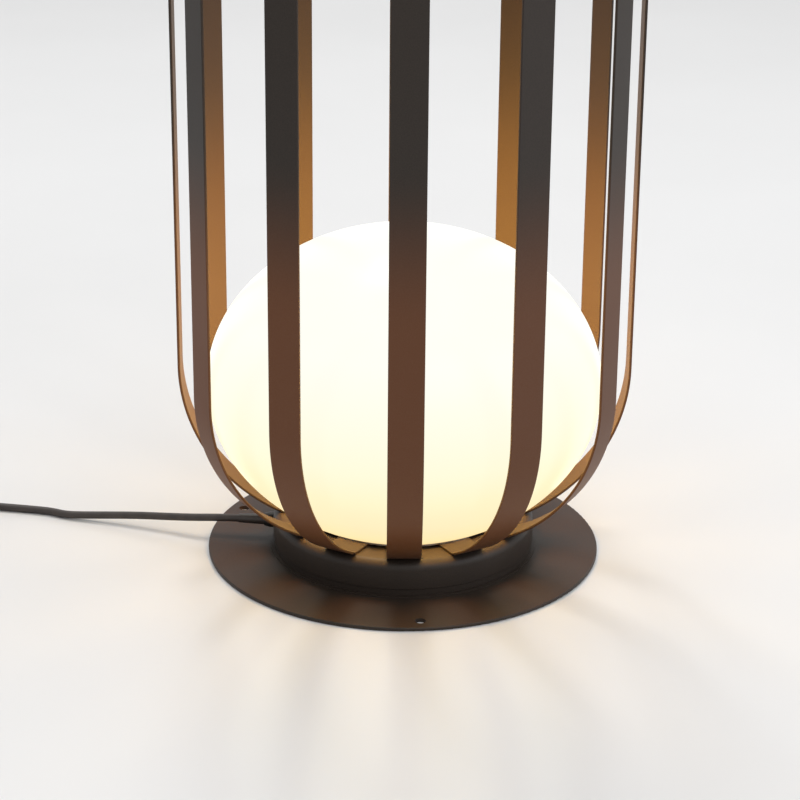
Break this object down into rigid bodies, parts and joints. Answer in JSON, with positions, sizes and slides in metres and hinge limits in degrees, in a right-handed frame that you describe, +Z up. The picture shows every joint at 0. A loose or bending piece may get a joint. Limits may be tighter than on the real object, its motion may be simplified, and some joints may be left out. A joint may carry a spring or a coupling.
{
  "type": "lantern floor lamp",
  "caption": "Floor lantern with a cage of flat steel strips round an oblate opal globe, on a round pedestal and a floor plate with fixing holes.",
  "frame": {"origin": "centre of the floor plate's underside, on the floor", "axes": "+Z up along the lamp's axis; -Y towards the picture's camera; the lead leaves towards -X"},
  "size_m": [0.6467, 0.34, 0.658],
  "materials": {
    "powder_coat": "satin graphite brown powder coat with a fine grain",
    "zinc_steel": "bright zinc plating",
    "gasket_rubber": "matt black rubber",
    "opal_globe": "smooth opal diffuser, evenly lit from inside",
    "holder_plastic": "moulded heat-proof plastic",
    "brass": "plain drawn brass",
    "nickel": "nickel plated",
    "lamp_white": "white moulded plastic",
    "lamp_opal": "frosted opal, lit",
    "gland_plastic": "black nylon",
    "cable_sheath": "matt dark sheath, slightly waxy",
    "core_brown": "brown core insulation",
    "core_blue": "blue core insulation",
    "block_white": "white nylon",
    "tie_fabric": "black woven hook and loop strap",
    "sleeve_black": "black pin sleeves"
  },
  "bodies": {
    "root": {"floor_plate": "powder_coat", "pedestal_ring": "powder_coat", "pedestal_cap": "powder_coat", "cage_strip_01": "powder_coat", "cage_strip_02": "powder_coat", "cage_strip_03": "powder_coat", "cage_strip_04": "powder_coat", "cage_strip_05": "powder_coat", "cage_strip_06": "powder_coat", "cage_strip_07": "powder_coat", "cage_strip_08": "powder_coat", "cage_strip_09": "powder_coat", "cage_strip_10": "powder_coat", "cage_strip_11": "powder_coat", "cage_strip_12": "powder_coat", "top_plate": "powder_coat", "top_cap": "powder_coat", "pedestal_pillars": "zinc_steel", "plate_screws": "zinc_steel", "pillar_screws": "zinc_steel", "tab_screws": "zinc_steel", "tab_nuts": "zinc_steel", "top_screws": "zinc_steel", "top_nuts": "zinc_steel", "top_stud": "zinc_steel", "acorn_nut": "zinc_steel", "gallery_ring": "zinc_steel", "lamp_bridge": "zinc_steel", "bridge_screws": "zinc_steel", "lampholder_screws": "zinc_steel", "clamp_screws": "zinc_steel", "terminal_screws": "zinc_steel", "block_screw": "zinc_steel", "globe_gasket": "gasket_rubber", "globe": "opal_globe", "lampholder": "holder_plastic", "screw_shell": "brass", "centre_contact": "brass", "terminal_poles": "brass", "lamp_cap": "nickel", "plug_pins": "nickel", "lamp_body": "lamp_white", "lamp_dome": "lamp_opal", "gland_body": "gland_plastic", "gland_nut": "gland_plastic", "gland_locknut": "gland_plastic", "cord_clamp_base": "gland_plastic", "cord_clamp_bar": "gland_plastic", "cable_inner": "cable_sheath", "cord_lead": "cable_sheath", "cord_coil": "cable_sheath", "strain_relief": "cable_sheath", "plug_body": "cable_sheath", "core_brown": "core_brown", "core_blue": "core_blue", "terminal_block": "block_white", "coil_tie": "tie_fabric", "pin_sleeves": "sleeve_black"}
  },
  "joints": []
}
